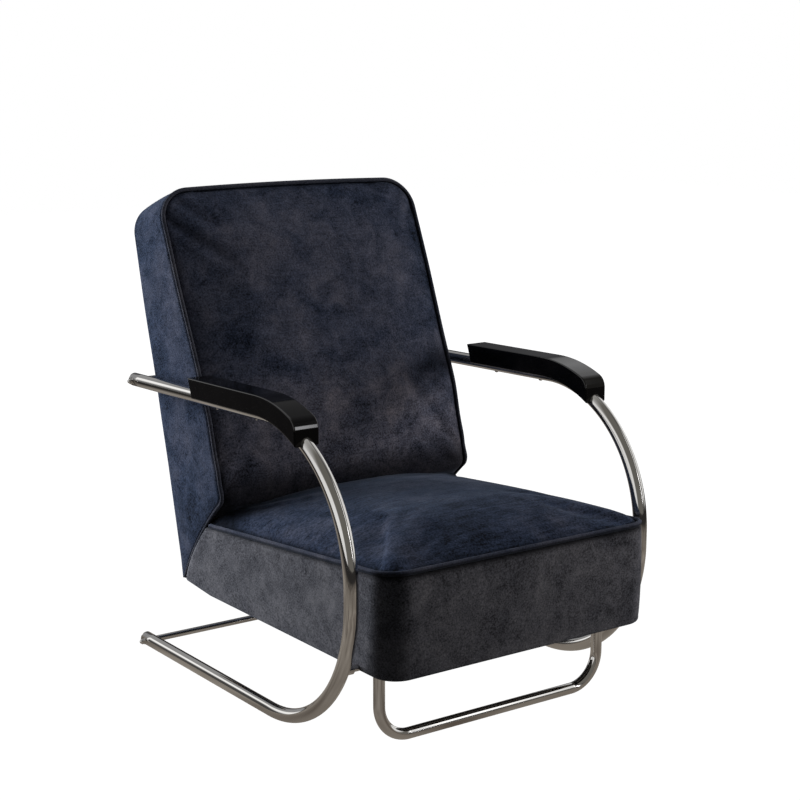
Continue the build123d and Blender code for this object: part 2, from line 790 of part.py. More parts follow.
# The origin goes to the middle of the footprint on the floor
box = Compound([solid for solids in nodes.values() for solid in solids]).bounding_box()
to_origin = Pos(0, -(box.min.Y + box.max.Y) / 2, -box.min.Z)
for name, solids in nodes.items():
    placed = [to_origin * solid for solid in solids]
    export_step(Compound(placed) if len(placed) > 1 else placed[0], f"parts/{name}.step")
print("size", box.size, "shift", to_origin.position, "nodes", len(nodes))
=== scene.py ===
import json
import bpy
import numpy as np
from math import cos, pi, radians, sin
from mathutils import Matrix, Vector


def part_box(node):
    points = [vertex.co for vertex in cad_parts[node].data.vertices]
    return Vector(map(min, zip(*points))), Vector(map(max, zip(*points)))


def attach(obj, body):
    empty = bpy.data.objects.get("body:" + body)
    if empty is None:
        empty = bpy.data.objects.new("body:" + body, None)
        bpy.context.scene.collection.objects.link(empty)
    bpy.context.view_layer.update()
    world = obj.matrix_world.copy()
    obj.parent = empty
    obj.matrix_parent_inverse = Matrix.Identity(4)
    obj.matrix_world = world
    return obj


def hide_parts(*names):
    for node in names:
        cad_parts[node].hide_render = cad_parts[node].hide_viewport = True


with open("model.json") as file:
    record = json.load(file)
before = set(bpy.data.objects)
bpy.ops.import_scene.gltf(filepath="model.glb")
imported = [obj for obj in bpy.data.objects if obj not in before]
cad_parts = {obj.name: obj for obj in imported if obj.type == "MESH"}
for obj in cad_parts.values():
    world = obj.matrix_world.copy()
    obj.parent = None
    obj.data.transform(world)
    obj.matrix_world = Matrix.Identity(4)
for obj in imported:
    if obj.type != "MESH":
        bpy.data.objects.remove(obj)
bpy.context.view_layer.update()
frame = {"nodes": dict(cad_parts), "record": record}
nodes = frame["nodes"]
print("frame loaded:", len(nodes), "nodes")

scene = bpy.context.scene
scene.view_settings.view_transform = "Standard"


class Value:
    # A socket that takes part in plain arithmetic; each operator adds one Math node.
    def __init__(self, shader, socket):
        self.shader = shader
        self.socket = socket

    def maths(self, operation, first, second):
        return self.shader.node("ShaderNodeMath", {"operation": operation}, {0: first, 1: second})

    def __add__(self, other):
        return self.maths("ADD", self, other)

    def __radd__(self, other):
        return self.maths("ADD", other, self)

    def __sub__(self, other):
        return self.maths("SUBTRACT", self, other)

    def __rsub__(self, other):
        return self.maths("SUBTRACT", other, self)

    def __mul__(self, other):
        return self.maths("MULTIPLY", self, other)

    def __rmul__(self, other):
        return self.maths("MULTIPLY", other, self)

    def clamped(self):
        return self.shader.node("ShaderNodeClamp", {}, {"Value": self})


class Shader:
    # A node tree with one method for any node: type, settings, then socket values or links.
    def __init__(self, owner):
        owner.use_nodes = True
        self.owner = owner
        self.tree = owner.node_tree
        self.tree.nodes.clear()

    def node(self, kind, settings=None, inputs=None, output=0):
        made = self.tree.nodes.new(kind)
        for key, value in (settings or {}).items():
            setattr(made, key, value)
        for key, value in (inputs or {}).items():
            if isinstance(value, Value):
                self.tree.links.new(value.socket, made.inputs[key])
            else:
                made.inputs[key].default_value = value
        return Value(self, made.outputs[output]) if made.outputs else None

    def objectPlace(self):
        return self.node("ShaderNodeTexCoord", output="Object")

    def noise(self, place, scale, detail=3.0, roughness=0.55, distortion=0.0):
        return self.node("ShaderNodeTexNoise", {}, {
            "Vector": place,
            "Scale": scale,
            "Detail": detail,
            "Roughness": roughness,
            "Distortion": distortion,
        })

    def mix(self, factor, first, second):
        return self.node("ShaderNodeMix", {"data_type": "RGBA"}, {0: factor, 6: first, 7: second}, output=2)

    def scaled(self, color, factor):
        return self.node("ShaderNodeVectorMath", {"operation": "SCALE"}, {0: color, "Scale": factor})

    def bump(self, height, strength, distance):
        return self.node("ShaderNodeBump", {}, {"Height": height, "Strength": strength, "Distance": distance})

    def surface(self, inputs):
        body = self.node("ShaderNodeBsdfPrincipled", {}, inputs)
        self.node("ShaderNodeOutputMaterial", {}, {"Surface": body})
        return self.owner


def newShader(name):
    return Shader(bpy.data.materials.new(name))


def rgb(red, green, blue):
    return (red, green, blue, 1.0)


def velourFinish(name, look):
    # Brushed velour: wide brushed patches, small blotches, streaks along the nap and a fine pile grain;
    # painted shade in seams and creases, and a painted warm bounce light low down where a look sets one.
    sh = newShader(name)
    place = sh.objectPlace()
    patches = sh.noise(place, look["patchScale"], 3.0, 0.6, 0.4)
    blotches = sh.noise(place, look["blotchScale"], 6.0, 0.68, 0.7)
    along = sh.node("ShaderNodeMapping", {}, {"Vector": place, "Scale": look["nap"]})
    streaks = sh.noise(along, 1.0, 4.0, 0.6, 0.3)
    grain = sh.noise(place, look["grainScale"], 3.0, 0.75)
    # painted bounce light: from the height high down to low the colour turns browner and paler, as if lit from
    # a warm floor below
    high, low, browner, paler = look["lower"]
    up = sh.node("ShaderNodeSeparateXYZ", {}, {0: place}, output="Z")
    bounceLit = ((high - up + (patches - 0.5) * look["bounceLitEdge"]) * (1.0 / (high - low))).clamped()
    # painted shade: the colour is darkened where the "open" attribute falls, in seams and creases, down to
    # this share at the darkest
    seam = look["seamShadeFloor"]
    shade = sh.node("ShaderNodeAttribute", {"attribute_name": "open"}, output="Fac") * (1.0 - seam) + seam
    warm = (patches - 0.5) * look["patchTint"] + (blotches - 0.5) * look["blotchTint"]
    warm = (warm + bounceLit * browner + look["warmth"]).clamped()
    tint = sh.mix(warm, look["cool"], look["warm"])
    level = 1.0 + (patches - 0.5) * look["patch"] + (blotches - 0.5) * look["blotch"]
    level = level + (streaks - 0.5) * look["streak"] + (grain - 0.5) * look["grain"]
    level = level * (1.0 + bounceLit * paler) * shade
    relief = grain * 0.5 + streaks * look["streakHeight"] + blotches * 0.6
    return sh.surface({
        "Base Color": sh.scaled(tint, level),
        "Roughness": (0.98 - (blotches * 0.22)).clamped(),
        "Normal": sh.bump(relief, 0.35, 0.0012),
        "Specular IOR Level": 0.12,
        "Sheen Weight": look["sheen"],
        "Sheen Roughness": 0.35,
        "Sheen Tint": look["sheenTint"],
    })


def chromeFinish(name):
    # Polished chrome plate: slight cloudiness, and faint polishing lines in the gloss.
    sh = newShader(name)
    place = sh.objectPlace()
    cloud = sh.noise(place, 9.0, 4.0, 0.6)
    lines = sh.noise(place, 260.0, 2.0, 0.5)
    tone = sh.mix(cloud, rgb(0.58, 0.565, 0.54), rgb(0.74, 0.73, 0.715))
    return sh.surface({
        "Base Color": tone,
        "Metallic": 1.0,
        "Roughness": 0.05 + cloud * 0.03 + lines * 0.01,
    })


def lacquerFinish(name):
    # Black lacquer on wood: deep gloss with a trace of orange peel and dust haze.
    sh = newShader(name)
    place = sh.objectPlace()
    haze = sh.noise(place, 34.0, 4.0, 0.6)
    peel = sh.noise(place, 210.0, 2.0, 0.5)
    tone = sh.mix(haze, rgb(0.0012, 0.0011, 0.0013), rgb(0.0030, 0.0027, 0.0027))
    return sh.surface({
        "Base Color": tone,
        "Roughness": 0.04 + haze * 0.05,
        "Normal": sh.bump(peel, 0.015, 0.0004),
        "Specular IOR Level": 0.5,
    })


def steelFinish(name):
    # Zinc-plated sheet: grey with soft brushing.
    sh = newShader(name)
    place = sh.objectPlace()
    brushed = sh.node("ShaderNodeMapping", {}, {"Vector": place, "Scale": (60.0, 900.0, 900.0)})
    lines = sh.noise(brushed, 1.0, 3.0, 0.6)
    spangle = sh.noise(place, 120.0, 2.0, 0.5)
    tone = sh.mix(spangle, rgb(0.34, 0.34, 0.34), rgb(0.55, 0.55, 0.53))
    return sh.surface({
        "Base Color": tone,
        "Metallic": 1.0,
        "Roughness": 0.3 + lines * 0.16,
        "Normal": sh.bump(lines, 0.08, 0.0004),
    })


def beechFinish(name):
    # Raw beech: long grain bands with short dark flecks.
    sh = newShader(name)
    place = sh.objectPlace()
    stretched = sh.node("ShaderNodeMapping", {}, {"Vector": place, "Scale": (5.0, 60.0, 60.0)})
    bands = sh.noise(stretched, 1.0, 4.0, 0.6, 1.2)
    flecked = sh.node("ShaderNodeMapping", {}, {"Vector": place, "Scale": (90.0, 700.0, 700.0)})
    flecks = sh.noise(flecked, 1.0, 2.0, 0.5)
    tone = sh.mix(bands, rgb(0.52, 0.35, 0.21), rgb(0.68, 0.5, 0.33))
    return sh.surface({
        "Base Color": sh.scaled(tone, 0.82 + flecks * 0.36),
        "Roughness": 0.5 + bands * 0.2,
        "Normal": sh.bump(flecks, 0.1, 0.0006),
    })


def wovenFinish(name, dark, light, pitch):
    # Plain weave: two crossed waves of thread with a little unevenness.
    sh = newShader(name)
    place = sh.objectPlace()
    wave = {"Vector": place, "Scale": pitch, "Distortion": 0.4}
    warp = sh.node("ShaderNodeTexWave", {"bands_direction": "X"}, wave)
    weft = sh.node("ShaderNodeTexWave", {"bands_direction": "Y"}, wave)
    uneven = sh.noise(place, 60.0, 3.0, 0.6)
    thread = sh.node("ShaderNodeMath", {"operation": "MAXIMUM"}, {0: warp, 1: weft})
    tone = sh.mix(thread * 0.7 + uneven * 0.3, dark, light)
    return sh.surface({
        "Base Color": tone,
        "Roughness": 0.8 + uneven * 0.15,
        "Normal": sh.bump(thread, 0.3, 0.0006),
        "Sheen Weight": 0.2,
    })


velourLook = {
    "patchScale": 6.5,
    "blotchScale": 24.0,
    "nap": (18.0, 150.0, 150.0),
    "cool": rgb(0.0132, 0.0182, 0.0322),
    "warm": rgb(0.0275, 0.0255, 0.0300),
    "warmth": 0.45,
    "patchTint": 1.3,
    "blotchTint": 0.9,
    "patch": 1.5,
    "blotch": 2.4,
    "streak": 0.8,
    "grain": 4.2,
    "grainScale": 330.0,
    "lower": (0.62, 0.42, 0.0, 0.0),  # heights between which a painted warm bounce light fades in, then how much browner and paler it paints
    "bounceLitEdge": 0.16,
    "seamShadeFloor": 0.14,
    "streakHeight": 0.5,
    "sheen": 0.05,
    "sheenTint": rgb(0.58, 0.72, 1.0),
}
seatTopLook = dict(velourLook, warmth=0.10, streak=2.6, blotch=2.0, streakHeight=0.6,
                   grain=4.6, grainScale=280.0,
                   cool=rgb(0.0136, 0.0187, 0.0331), warm=rgb(0.0282, 0.0262, 0.0308))
# the back face is painted browner and paler towards the bottom, standing in for warm bounce light
backFaceLook = dict(velourLook, warmth=0.34, lower=(0.60, 0.42, 0.42, 0.75),
                    cool=rgb(0.0150, 0.0206, 0.0365), warm=rgb(0.0310, 0.0288, 0.0340))
bandLook = dict(velourLook, warmth=0.6, nap=(60.0, 60.0, 60.0), blotch=1.6, grain=3.6,
                cool=rgb(0.0360, 0.0372, 0.0458), warm=rgb(0.0500, 0.0490, 0.0535))
pipingLook = dict(velourLook, blotch=0.8, streak=0.2, grain=2.5,
                  cool=rgb(0.0200, 0.0250, 0.0400), warm=rgb(0.0360, 0.0345, 0.0400))
backPipingLook = dict(pipingLook, cool=rgb(0.020, 0.023, 0.034), warm=rgb(0.031, 0.030, 0.035))
wingLook = dict(velourLook, warmth=0.12, nap=(60.0, 60.0, 60.0))

finishes = {
    "seatTop": velourFinish("velour_seat_top", seatTopLook),
    "backFace": velourFinish("velour_back_face", backFaceLook),
    "seatBand": velourFinish("velour_seat_band", bandLook),
    "backBand": velourFinish("velour_back_band", wingLook),
    "piping": velourFinish("velour_piping", pipingLook),
    "backPiping": velourFinish("velour_back_piping", backPipingLook),
    "chrome": chromeFinish("chrome_plate"),
    "lacquer": lacquerFinish("black_lacquer"),
    "steel": steelFinish("zinc_steel"),
    "beech": beechFinish("raw_beech"),
    "webbing": wovenFinish("webbing_weave", rgb(0.20, 0.15, 0.10), rgb(0.46, 0.38, 0.27), 130.0),
    "lining": wovenFinish("black_lining", rgb(0.012, 0.012, 0.014), rgb(0.05, 0.05, 0.055), 420.0),
}

# CAD nodes that stay, by the record's slot
slotFinish = {
    "chrome": "chrome",
    "steel": "steel",
    "black_lacquer": "lacquer",
    "beech": "beech",
    "webbing": "webbing",
}
for row in frame["record"]["subparts"]:
    if row["material_slot"] in slotFinish:
        mesh = nodes[row["node"]].data
        mesh.materials.clear()
        mesh.materials.append(finishes[slotFinish[row["material_slot"]]])
print("finishes made:", len(finishes))


def gridFaces(rows, cols, flip=False):
    # Quads of a grid whose point number is row * cols + col.
    row, col = np.meshgrid(np.arange(rows - 1), np.arange(cols - 1), indexing="ij")
    a = (row * cols + col).ravel()
    quads = np.stack([a, a + 1, a + cols + 1, a + cols], axis=1)
    return quads[:, ::-1] if flip else quads


def makePiece(name, points, faces, finish, shade=None):
    # Mesh object from point and face arrays, smooth; its "open" attribute is a painted shade, 1 on free cloth
    # and falling to 0 inside a seam or crease, where the velour is painted darker.
    mesh = bpy.data.meshes.new(name)
    mesh.from_pydata(points.tolist(), [], [face for block in faces for face in block.tolist()])
    mesh.validate()
    mesh.materials.append(finishes[finish])
    shade = np.ones(len(points)) if shade is None else np.asarray(shade, float).ravel()
    mesh.attributes.new("open", "FLOAT", "POINT").data.foreach_set("value", shade)
    mesh.shade_smooth()
    piece = bpy.data.objects.new(name, mesh)
    scene.collection.objects.link(piece)
    return piece


def addSolid(piece, thickness):
    # Wall behind a sheet whose faces point outwards.
    wall = piece.modifiers.new("wall", "SOLIDIFY")
    wall.thickness = thickness
    wall.offset = -1.0


def addSmooth(piece):
    # One level of subdivision.
    smooth = piece.modifiers.new("round", "SUBSURF")
    smooth.levels = 1
    smooth.render_levels = 1


def sweep(name, path, across, radius, sides, finish, lit=1.0):
    # Round cord along a path: rings of radius * (cos a * side + sin a * across), a fan at each end.
    tangent = np.gradient(path, axis=0)
    tangent /= np.linalg.norm(tangent, axis=1, keepdims=True)
    side = np.cross(tangent, across)
    side /= np.linalg.norm(side, axis=1, keepdims=True)
    up = np.cross(side, tangent)
    angle = np.linspace(0, 2 * pi, sides, endpoint=False)
    spoke = np.cos(angle)[None, :, None] * side[:, None] + np.sin(angle)[None, :, None] * up[:, None]
    rings = path[:, None] + radius * spoke
    count = len(path)
    points = np.concatenate([rings.reshape(-1, 3), path[:1], path[-1:]])
    # painted light and shade: by the share lit, the cord is painted lighter on its top, away from the seam,
    # and darker underneath in it
    topSide = smoothStep((np.sin(angle) + 0.35) / 0.9)  # 0 in the seam, 1 on the open side
    shade = np.append(np.tile(1 - lit + lit * topSide, count), [0.5, 0.5])
    ring, k = np.meshgrid(np.arange(count - 1), np.arange(sides), indexing="ij")
    a, b = (ring * sides + k).ravel(), (ring * sides + (k + 1) % sides).ravel()
    quads = np.stack([a, b, b + sides, a + sides], axis=1)
    k = np.arange(sides)
    first = np.stack([(k + 1) % sides, k, np.full(sides, count * sides)], axis=1)
    last = (count - 1) * sides
    second = np.stack([last + k, last + (k + 1) % sides, np.full(sides, count * sides + 1)], axis=1)
    piece = makePiece(name, points, [quads, first, second], finish, shade)
    outward(piece)
    return piece


def outward(piece):
    # Turns a closed mesh's faces outwards.
    bpy.context.view_layer.objects.active = piece
    bpy.ops.object.select_all(action="DESELECT")
    piece.select_set(True)
    bpy.ops.object.mode_set(mode="EDIT")
    bpy.ops.mesh.select_all(action="SELECT")
    bpy.ops.mesh.normals_make_consistent(inside=False)
    bpy.ops.object.mode_set(mode="OBJECT")


def runPath(start, heading, runs, s):
    # Point and heading after a length s along straight runs and arcs; a run is (length, turn).
    s = np.asarray(s, float)
    points = np.zeros(s.shape + (2,))
    turned = np.zeros(s.shape)
    at, begun = np.array(start, float), 0.0
    for length, turn in runs:
        here = np.clip(s - begun, 0, length)
        inside = (s >= begun) | (begun == 0.0)
        bend = turn / length
        if abs(turn) < 1e-9:
            offset = np.stack([here * cos(heading), here * sin(heading)], axis=-1)
        else:
            ahead = heading + bend * here
            offset = np.stack([np.sin(ahead) - sin(heading), cos(heading) - np.cos(ahead)], axis=-1) / bend
        points = np.where(inside[..., None], at + offset, points)
        turned = np.where(inside, heading + bend * here, turned)
        if abs(turn) < 1e-9:
            at = at + length * np.array([cos(heading), sin(heading)])
        else:
            ahead = heading + turn
            at = at + np.array([sin(ahead) - sin(heading), cos(heading) - cos(ahead)]) / bend
        heading += turn
        begun += length
    return points, turned


def eased(t, power):
    # Rises steeply from 0 and is flat at 1: 1 - (1 - t)^power.
    return 1 - (1 - np.clip(t, 0, 1)) ** power


def smoothStep(t):
    # Soft step from 0 to 1: 3t^2 - 2t^3.
    t = np.clip(t, 0, 1)
    return t * t * (3 - 2 * t)


def quarterRound(t):
    # Quarter circle from 0 up to 1.
    return np.sqrt(np.clip(1 - (1 - np.clip(t, 0, 1)) ** 2, 0, 1))


# shared sizes in metres; lengths in y are written as drawn and then moved with the seat's front edge
seatFront = -0.437
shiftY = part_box("seat_border")[0].y - seatFront
seatForm = {
    "halfWidth": 0.282,
    "front": seatFront + shiftY,
    "corner": 0.045,
    "edgeHeight": 0.321,
    "underside": 0.141,
    "slope": radians(4.5),
    "riseStart": 0.140 + shiftY,
    "tail": (0.240 + shiftY, 0.150),
}
backForm = {
    "halfWidth": 0.282,
    "recline": radians(23),
    "straight": 0.520,
    "lumbar": (0.142, radians(24)),
    "heel": (0.028, radians(49)),
    "seam": (0.228, radians(22)),
    "topThickness": 0.112,
    "corner": 0.062,
    "rearCorner": 0.054,
    "ease": 0.012,
    "easeRise": (0.42, 0.11),  # start and run of a soft step, as in the next ones
    "easeFall": (0.605, 0.05),
    "flare": 0.0035,
    "flareFall": (0.36, 0.20),
    "footShare": 0.35,
    "footRise": (0.38, 0.12),
    "bow": 0.005,
    "bowReach": 0.16,
}
cordRadius = 0.0042
cordInset = 0.0025
padInset = 0.0050
slope = seatForm["slope"]
seatDir = np.array([cos(slope), -sin(slope)])
seatNormal = np.array([sin(slope), cos(slope)])
seatLip = np.array([seatForm["front"], seatForm["edgeHeight"]])

lean = backForm["recline"]
backHeading = 1.5 * pi - lean
lumbarRadius, lumbarTurn = backForm["lumbar"]
heelRadius, heelTurn = backForm["heel"]
seamLength, seamTurn = backForm["seam"]
backRuns = [
    (backForm["straight"], 0.0),
    (lumbarRadius * lumbarTurn, lumbarTurn),
    (heelRadius * heelTurn, heelTurn),
    (seamLength, -seamTurn),
]
backLength = sum(run[0] for run in backRuns)
lumbarStart = backRuns[0][0]
heelStart = lumbarStart + backRuns[1][0]
seamStart = heelStart + backRuns[2][0]
tail = np.array(seatForm["tail"])
backTop = tail - runPath((0, 0), backHeading, backRuns, np.array([backLength]))[0][0]
faceDown = np.array([-sin(lean), -cos(lean)])
faceFront = np.array([-cos(lean), sin(lean)])
topRear = backTop - faceFront * backForm["topThickness"]
rearUp = (topRear - tail) / np.linalg.norm(topRear - tail)
rearOut = np.array([rearUp[1], -rearUp[0]])


def backProfile(s):
    # Point and front normal of the back's side outline at a length s below its top edge, eased above the heel.
    points, heading = runPath(backTop, backHeading, backRuns, s)
    normal = np.stack([np.sin(heading), -np.cos(heading)], axis=-1)
    (rise, riseRun), (fall, fallRun) = backForm["easeRise"], backForm["easeFall"]
    ease = backForm["ease"] * smoothStep((s - rise) / riseRun) * smoothStep((fall - s) / fallRun)
    return points - normal * ease[..., None], normal


def backWidth(s):
    # Half width of the back at a length s below its top edge: a little wider at the top, narrower at the foot.
    s = np.asarray(s)
    (fall, fallRun), (rise, riseRun) = backForm["flareFall"], backForm["footRise"]
    wider = smoothStep((fall - s) / fallRun) - backForm["footShare"] * smoothStep((s - rise) / riseRun)
    return backForm["halfWidth"] + backForm["flare"] * wider


def topBow(x, d):
    # Length by which the top edge falls off towards its corners, gone a hand's breadth further down.
    return backForm["bow"] * (x / backForm["halfWidth"]) ** 2 * smoothStep(1 - d / backForm["bowReach"])


def joinPoints(x, yz):
    # (x, y, z) from x and a (y, z) pair.
    return np.concatenate([np.broadcast_to(x, yz.shape[:-1])[..., None], yz], axis=-1)


def pillowFaces(rows, cols):
    # Front grid and rear grid that share the border points: a closed pillow.
    inner = np.zeros((rows, cols), bool)
    inner[1:-1, 1:-1] = True
    front = np.arange(rows * cols).reshape(rows, cols)
    rear = front.copy()
    rear[inner] = rows * cols + np.arange(inner.sum())
    quads = []
    for grid, flip in ((front, False), (rear, True)):
        block = np.stack([grid[:-1, :-1], grid[:-1, 1:], grid[1:, 1:], grid[1:, :-1]], axis=-1).reshape(-1, 4)
        quads.append(block[:, ::-1] if flip else block)
    return inner, quads


def swell(piece, held, look):
    # Cloth under pressure: held points stay, the others swell and are capped, then the result is kept.
    rest = np.zeros(len(piece.data.vertices) * 3)
    piece.data.vertices.foreach_get("co", rest)
    rest = rest.reshape(-1, 3)
    pin = piece.vertex_groups.new(name="held")
    pin.add(np.flatnonzero(held).tolist(), 1.0, "REPLACE")
    cloth = piece.modifiers.new("swell", "CLOTH")
    settings = cloth.settings
    settings.quality = 6
    settings.mass = 0.25
    settings.tension_stiffness = look["tension"]
    settings.compression_stiffness = look["tension"]
    settings.shear_stiffness = look["tension"] * 0.6
    settings.bending_stiffness = look["bending"]
    settings.use_pressure = True
    settings.uniform_pressure_force = look["pressure"]
    settings.vertex_group_mass = "held"
    settings.effector_weights.gravity = 0.0
    cloth.collision_settings.use_collision = False
    for step in range(1, 21):
        scene.frame_set(step)
    ready = piece.evaluated_get(bpy.context.evaluated_depsgraph_get())
    moved = np.zeros(len(rest) * 3)
    ready.data.vertices.foreach_get("co", moved)
    move = moved.reshape(-1, 3) - rest
    far = np.linalg.norm(move, axis=1, keepdims=True)
    print(piece.name, "swelled by up to", round(float(far.max()) * 1000, 1), "mm")
    move *= np.minimum(1.0, look["cap"] / np.maximum(far, 1e-9))
    piece.modifiers.remove(cloth)
    piece.vertex_groups.remove(pin)
    piece.data.vertices.foreach_set("co", (rest + move).ravel())
    piece.data.update()
    scene.frame_set(1)


seatCushionLook = {
    "rows": 88,
    "cols": 78,
    "rowEase": 0.35,
    "bunching": 0.86,
    "softening": 10,
    "crown": 0.026,
    "shoulder": 0.025,
    "shoulderReach": 0.042,
    "crease": 0.002,
    "acrossReach": 0.25,
    "frontReach": 0.17,
    "depth": 0.055,
    "depthReach": 0.03,
    "rearShrink": 0.985,
    "rearEnd": 0.02,
    "pressure": 2.0,
    "tension": 12.0,
    "bending": 0.6,
    "cap": 0.012,
    "reach": 0.640,
    "tuckRun": 0.03,
    "tuckSide": 0.02,
    "gapToBack": 0.004,
    "seamReach": 0.010,
    "heelShade": (0.95, 0.095, 1.6),
    "heldEnd": 0.02,
}


def seatPoints(d, h):
    # Point at a length d behind the front edge and a height h over the piped plane.
    return seatLip + d[..., None] * seatDir + h[..., None] * seatNormal


def roundedWidth(d, halfWidth, corner):
    # Half width at a distance d from an edge with rounded corners.
    into = np.clip(corner - d, 0, corner)
    return halfWidth - corner + np.sqrt(np.maximum(corner**2 - into**2, 0))


def rimDistance(x, d, halfWidth, corner):
    # Distance to the nearest of both sides and the first edge of a strip whose two first corners are rounded.
    side, first = np.abs(x) - (halfWidth - corner), corner - d
    cornerGap = corner - np.hypot(np.maximum(side, 0), np.maximum(first, 0))
    return np.where((side > 0) & (first > 0), cornerGap, np.minimum(halfWidth - np.abs(x), d))


def heelLimit(y, gap):
    # Height of the back's heel and seam, less a gap, at each y behind its foremost point.
    s = np.linspace(lumbarStart, backLength, 400)
    points, normal = backProfile(s)
    points = points + normal * gap
    low = np.argmin(points[:, 0])
    under = points[low:]
    return np.where(y < under[0, 0], 10.0, np.interp(y, under[:, 0], under[:, 1]))


def rowShares(count, ease):
    # Shares from 0 to 1, closer together at the start: ease * t^2 + (1 - ease) * t.
    t = np.linspace(0, 1, count)
    return ease * t**2 + (1 - ease) * t


def bunchedShares(count, bunching):
    # Shares from -1 to 1, closer together at both ends: the sine of even steps, brought to 1.
    widest = pi / 2 * bunching
    return np.sin(np.linspace(-1, 1, count) * widest) / sin(widest)


def makeSeatCushion(look):
    # Crowned pad: height = quarter-round shoulder + crown * eased distance from the sides and the front.
    rows, cols = look["rows"], look["cols"]
    halfWidth, corner = seatForm["halfWidth"] - padInset, seatForm["corner"] - padInset
    d = padInset + (look["reach"] - padInset) * rowShares(rows, look["rowEase"])
    half = roundedWidth(d - padInset, halfWidth, corner)
    x = half[:, None] * bunchedShares(cols, look["bunching"])[None, :]
    dd = np.broadcast_to(d[:, None], x.shape)
    fromSide = half[:, None] - np.abs(x)
    fromFront = dd - padInset
    edge = rimDistance(x, fromFront, halfWidth, corner)
    h = look["shoulder"] * quarterRound((edge - look["crease"]) / look["shoulderReach"]) - look["crease"]
    bow = eased(fromSide / look["acrossReach"], 2.2) * eased(fromFront / look["frontReach"], 2.4)
    h = h + look["crown"] * bow
    for _ in range(look["softening"]):  # each pass: inner heights become the mean of their four neighbours
        h[1:-1, 1:-1] = (h[:-2, 1:-1] + h[2:, 1:-1] + h[1:-1, :-2] + h[1:-1, 2:]) / 4
    front = joinPoints(x, seatPoints(dd, h))
    limit = heelLimit(front[..., 1], look["gapToBack"])
    under = limit < 1.0
    heelFront = front[..., 1][under].min()
    behind = front[..., 1] - heelFront
    tucked = smoothStep(behind / look["tuckRun"]) * np.clip(fromSide / look["tuckSide"], 0, 1)
    natural = front[..., 2]
    filled = natural + (limit - natural) * tucked
    front[..., 2] = np.where(under, np.minimum(np.maximum(natural, filled), limit), natural)
    depth = look["depth"] * quarterRound(edge / look["depthReach"])
    depth = np.minimum(depth, look["rearEnd"] + (look["reach"] - dd))
    rear = joinPoints(x * look["rearShrink"], seatPoints(dd, -depth))
    inner, quads = pillowFaces(rows, cols)
    points = np.concatenate([front.reshape(-1, 3), rear[inner]])
    # painted shade: the cover is painted darker in the seams at its edge and towards the crease under the
    # back's heel
    darker, darkRun, power = look["heelShade"]
    heelShade = 1 - darker * smoothStep((behind + darkRun) / darkRun) ** power
    shade = smoothStep(edge / look["seamReach"]) * heelShade
    shade = np.append(shade.ravel(), np.zeros(inner.sum()))
    piece = makePiece("seat_cushion_cover", points, quads, "seatTop", shade)
    outward(piece)
    held = np.ones(len(points), bool)
    held[: rows * cols] = ((edge < 1e-4) | under | (dd > look["reach"] - look["heldEnd"])).ravel()
    swell(piece, held, look)
    addSmooth(piece)
    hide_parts("seat_cushion")
    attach(piece, "root")


makeSeatCushion(seatCushionLook)
print("seat cushion made")

backCushionLook = {
    "rows": 96,
    "cols": 78,
    "rowEase": 0.25,
    "bunching": 0.86,
    "crown": 0.015,
    "shoulder": 0.012,
    "shoulderReach": 0.028,
    "crease": 0.002,
    "acrossReach": 0.22,
    "topReach": 0.16,
    "endReach": 0.12,
    "endLap": 0.02,
    "depth": 0.036,
    "depthReach": 0.03,
    "rearShrink": 0.985,
    "rearEnd": (0.006, 0.5),
    "pressure": 2.2,
    "tension": 12.0,
    "bending": 0.6,
    "cap": 0.010,
    "tuck": 0.055,
    "seamShade": (0.5, 0.010),
    "heelShade": (0.92, 0.050, 0.056),
    "heldEnd": 0.012,
}


def makeBackCushion(look):
    # Crowned face: offset from the side outline = shoulder + crown * eased distances from sides, top and heel.
    rows, cols = look["rows"], look["cols"]
    reach = seamStart + look["tuck"]
    corner = backForm["corner"] - padInset
    d = padInset + (reach - padInset) * rowShares(rows, look["rowEase"])
    half = roundedWidth(d - padInset, backWidth(d) - padInset, corner)
    x = half[:, None] * bunchedShares(cols, look["bunching"])[None, :]
    dd = np.broadcast_to(d[:, None], x.shape)
    fromSide = half[:, None] - np.abs(x)
    fromTop = dd - padInset
    fromEnd = reach - dd
    edge = np.minimum(rimDistance(x, fromTop, backWidth(dd) - padInset, corner), fromEnd)
    h = look["shoulder"] * quarterRound((edge - look["crease"]) / look["shoulderReach"]) - look["crease"]
    bow = eased(fromSide / look["acrossReach"], 2.2) * eased(fromTop / look["topReach"], 2.2)
    h = h + look["crown"] * bow * eased((fromEnd - look["tuck"] + look["endLap"]) / look["endReach"], 1.6)
    outline, normal = backProfile(dd + topBow(x, dd))
    front = joinPoints(x, outline + normal * h[..., None])
    least, widening = look["rearEnd"]
    depth = look["depth"] * quarterRound(edge / look["depthReach"])
    depth = np.minimum(depth, least + widening * np.maximum(seamStart - dd, 0))
    rear = joinPoints(x * look["rearShrink"], outline - normal * depth[..., None])
    inner, quads = pillowFaces(rows, cols)
    points = np.concatenate([front.reshape(-1, 3), rear[inner]])
    # painted shade: darker towards the seams at the edge, never below seamLevel there, and darker still
    # towards the crease at the heel
    seamLevel, seamReach = look["seamShade"]
    darker, darkStart, darkRun = look["heelShade"]
    shade = seamLevel + (1 - seamLevel) * smoothStep(edge / seamReach)
    shade = shade * (1 - darker * smoothStep((dd - heelStart + darkStart) / darkRun))
    shade = np.append(shade.ravel(), np.zeros(inner.sum()))
    piece = makePiece("back_cushion_cover", points, quads, "backFace", shade)
    outward(piece)
    held = np.ones(len(points), bool)
    held[: rows * cols] = ((edge < 1e-4) | (dd > seamStart - look["heldEnd"])).ravel()
    swell(piece, held, look)
    addSmooth(piece)
    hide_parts("back_cushion")
    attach(piece, "root")


makeBackCushion(backCushionLook)
print("back cushion made")

